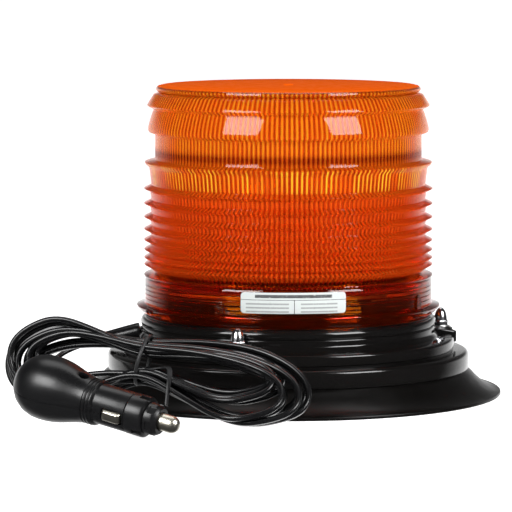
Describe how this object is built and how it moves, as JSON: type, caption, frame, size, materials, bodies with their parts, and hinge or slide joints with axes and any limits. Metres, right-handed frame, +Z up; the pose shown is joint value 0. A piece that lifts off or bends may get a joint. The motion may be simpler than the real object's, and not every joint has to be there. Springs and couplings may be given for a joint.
{
  "type": "strobe warning beacon",
  "caption": "Amber ribbed strobe beacon on a magnetic suction mount, with a tied hank of flat cord and a 12 V accessory plug.",
  "frame": {"origin": "centre of the suction skirt's underside, the face the beacon stands on", "axes": "+Z up along the lens's axis, -Y the front with the blank label plate, +X to the right seen from the front"},
  "size_m": [0.2652, 0.2986, 0.1669],
  "materials": {
    "amber_lens": "clear amber polycarbonate, glossy",
    "black_gloss": "glossy black moulding",
    "black_matte": "satin black moulding",
    "skirt_rubber": "satin black rubber",
    "cup_paint": "glossy black enamel on pressed steel",
    "steel": "zinc-plated steel",
    "nut_chrome": "polished chrome plate",
    "ferrite": "dull sintered ferrite",
    "label_white": "satin white plate",
    "board_green": "solder-masked laminate",
    "post_white": "satin moulded plastic",
    "tube_glass": "clear glass",
    "capacitor_can": "sleeved aluminium can",
    "aluminium": "bare folded sheet",
    "copper": "enamelled copper wire",
    "cord_black": "satin black cord sheath",
    "plug_black": "semi-gloss black moulding",
    "nickel": "nickel-plated brass"
  },
  "bodies": {
    "base": {"suction_skirt": "skirt_rubber", "clamp_ring": "steel", "clamp_rivets": "steel", "magnet_cup": "cup_paint", "magnet_yoke": "steel", "ring_magnet": "ferrite", "magnet_pad": "skirt_rubber", "magnet_bolt": "steel", "magnet_nut": "steel", "base_studs": "steel", "mount_gasket": "skirt_rubber", "base_housing": "black_gloss", "base_plate": "black_matte", "housing_screws": "steel", "lens_gasket": "skirt_rubber", "stud_washers": "steel", "acorn_nuts": "nut_chrome", "circuit_board": "board_green", "board_standoffs": "black_matte", "board_screws": "steel", "tube_post": "post_white", "tube_socket": "black_matte", "flash_tube": "tube_glass", "tube_electrodes": "steel", "trigger_bands": "nickel", "flash_capacitor": "capacitor_can", "transformer_core": "ferrite", "transformer_winding": "copper", "trigger_coil": "black_matte", "heat_sink": "aluminium", "power_transistor": "black_matte", "supply_leads": "cord_black", "cord_boot": "cord_black", "cord_lead": "cord_black", "cord_tail": "cord_black", "cord_hank": "cord_black", "cord_tie": "black_matte", "plug_shell_top": "plug_black", "plug_shell_bottom": "plug_black", "plug_shell_screw": "steel", "plug_relief": "cord_black", "plug_collar_ring": "plug_black"},
    "lens": {"lens": "amber_lens", "label_plate": "label_white"},
    "plug_nose": {"plug_nose_cap": "plug_black"},
    "plug_tip": {"plug_tip": "nickel", "plug_fuse": "tube_glass", "plug_tip_spring": "steel"},
    "plug_contact_front": {"plug_contact_front": "nickel"},
    "plug_contact_back": {"plug_contact_back": "nickel"}
  },
  "joints": [
    {"name": "lens_twist", "type": "hinge", "parent": "base", "child": "lens", "pos_m": [0, 0, 0.05], "axis": [0, 0, 1], "range_deg": [0, 35]},
    {"name": "plug_nose_turn", "type": "hinge", "parent": "base", "child": "plug_nose", "pos_m": [-0.0696, -0.1737, 0.01014], "axis": [0.8734, -0.445, -0.1977], "range_deg": [0, 90]},
    {"name": "plug_tip_press", "type": "slide", "parent": "plug_nose", "child": "plug_tip", "axis": [-0.8734, 0.445, 0.1977], "range_m": [0, 0.0018], "stiffness_N_per_m": 800, "springref_m": -0.003},
    {"name": "plug_contact_front_press", "type": "slide", "parent": "base", "child": "plug_contact_front", "axis": [0.4845, 0.8346, 0.2619], "range_m": [0, 0.0012], "stiffness_N_per_m": 1500, "springref_m": -0.001},
    {"name": "plug_contact_back_press", "type": "slide", "parent": "base", "child": "plug_contact_back", "axis": [-0.4845, -0.8346, -0.2619], "range_m": [0, 0.0012], "stiffness_N_per_m": 1500, "springref_m": -0.001}
  ]
}
